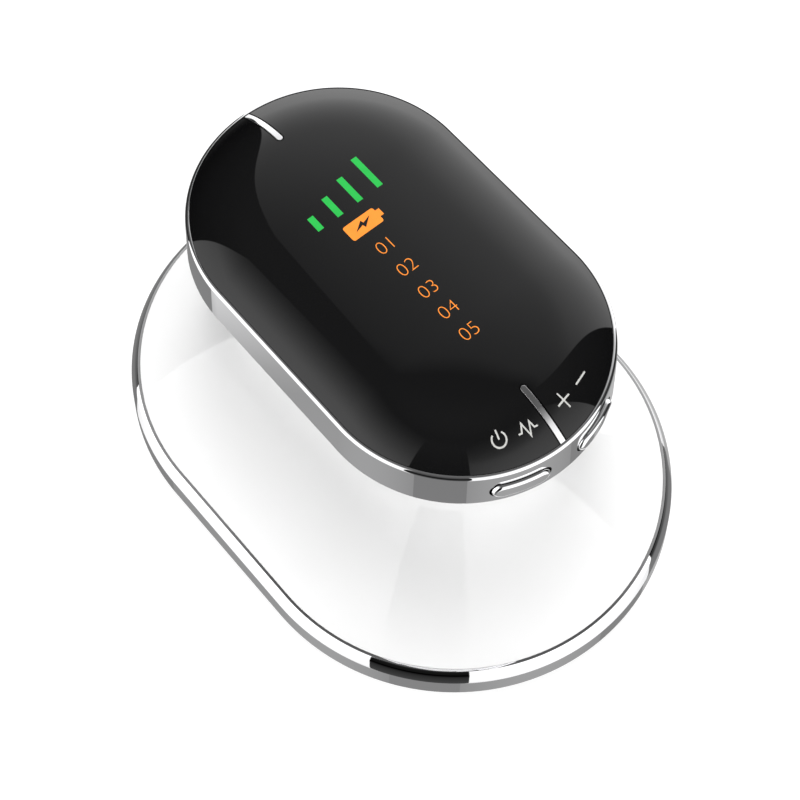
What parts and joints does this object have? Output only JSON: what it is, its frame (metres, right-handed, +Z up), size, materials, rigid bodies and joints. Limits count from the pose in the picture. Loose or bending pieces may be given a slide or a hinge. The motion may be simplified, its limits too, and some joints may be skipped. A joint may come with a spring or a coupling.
{
  "type": "body contouring device",
  "caption": "Hand-held body contouring device: flared white body, wide chrome-ringed treatment head and a rounded handle with a dark glossy display cover and rocker keys.",
  "frame": {"origin": "under the middle of the device, on the surface that its electrodes stand on", "axes": "+Z up through the handle, +Y along the long axis away from the keys, +X to the right of a user who faces the keys"},
  "size_m": [0.08, 0.1108, 0.063],
  "materials": {
    "body_white": "high gloss white moulding",
    "cover_black": "piano black, polished",
    "chrome": "bright chrome plating",
    "lens_red": "translucent",
    "gasket": "soft silicone",
    "frame_black": "fine matt",
    "cradle_grey": "fine matt",
    "board": "solder mask",
    "chip": "moulded resin",
    "lamp": "clear resin",
    "ceramic_disc": "fired and silvered",
    "core": "ferrite and taped winding",
    "cell": "laminated pouch foil",
    "foam": "closed-cell foam",
    "steel": "zinc plated",
    "ribbon": "polyimide film",
    "plunger": "moulded"
  },
  "bodies": {
    "housing": {"neck_shell": "body_white", "base_ring": "chrome", "base_gasket": "gasket", "head_plate": "body_white", "outer_electrode": "chrome", "centre_electrode": "chrome", "light_lens": "lens_red", "light_board": "board", "light_lamps": "lamp", "ultrasonic_disc": "ceramic_disc", "driver_board": "board", "output_transformer": "core", "driver_chips": "chip", "head_screws": "steel", "driver_screws": "steel", "battery_cradle": "cradle_grey", "battery": "cell", "battery_pad": "foam", "cradle_screws": "steel", "handle_frame": "frame_black", "frame_screws": "steel", "grip_band": "chrome", "top_cover": "cover_black", "front_accent": "chrome", "rear_accent": "chrome", "main_board": "board", "board_screws": "steel", "display_baffle": "frame_black", "display_lamps": "lamp", "control_chip": "chip", "charging_socket": "steel", "ribbon_cable": "ribbon", "power_switch_board": "board", "level_switch_board": "board", "power_switch_bodies": "frame_black", "level_switch_bodies": "frame_black", "rocker_pins": "steel"},
    "power_rocker": {"power_rocker": "chrome"},
    "level_rocker": {"level_rocker": "chrome"},
    "power_plunger": {"power_plunger": "plunger"},
    "mode_plunger": {"mode_plunger": "plunger"},
    "plus_plunger": {"plus_plunger": "plunger"},
    "minus_plunger": {"minus_plunger": "plunger"}
  },
  "joints": [
    {"name": "power_rocker_press", "type": "hinge", "parent": "housing", "child": "power_rocker", "pos_m": [-0.0064, -0.03487, 0.0535], "axis": [0, 0, 1], "range_deg": [-3, 3], "stiffness_Nm_per_rad": 0.02},
    {"name": "level_rocker_press", "type": "hinge", "parent": "housing", "child": "level_rocker", "pos_m": [0.0064, -0.03487, 0.0535], "axis": [0, 0, 1], "range_deg": [-3, 3], "stiffness_Nm_per_rad": 0.02},
    {"name": "power_plunger_travel", "type": "slide", "parent": "housing", "child": "power_plunger", "axis": [-0.3123, -0.95, 0], "range_m": [-0.0002, 0.0002]},
    {"name": "mode_plunger_travel", "type": "slide", "parent": "housing", "child": "mode_plunger", "axis": [-0.3123, -0.95, 0], "range_m": [-0.0002, 0.0002]},
    {"name": "plus_plunger_travel", "type": "slide", "parent": "housing", "child": "plus_plunger", "axis": [0.3123, -0.95, 0], "range_m": [-0.0002, 0.0002]},
    {"name": "minus_plunger_travel", "type": "slide", "parent": "housing", "child": "minus_plunger", "axis": [0.3123, -0.95, 0], "range_m": [-0.0002, 0.0002]}
  ],
  "couplings": [
    {"joint": "power_plunger_travel", "follows": "power_rocker_press", "m_per_rad": 0.0036},
    {"joint": "mode_plunger_travel", "follows": "power_rocker_press", "m_per_rad": -0.0036},
    {"joint": "plus_plunger_travel", "follows": "level_rocker_press", "m_per_rad": 0.0036},
    {"joint": "minus_plunger_travel", "follows": "level_rocker_press", "m_per_rad": -0.0036}
  ]
}
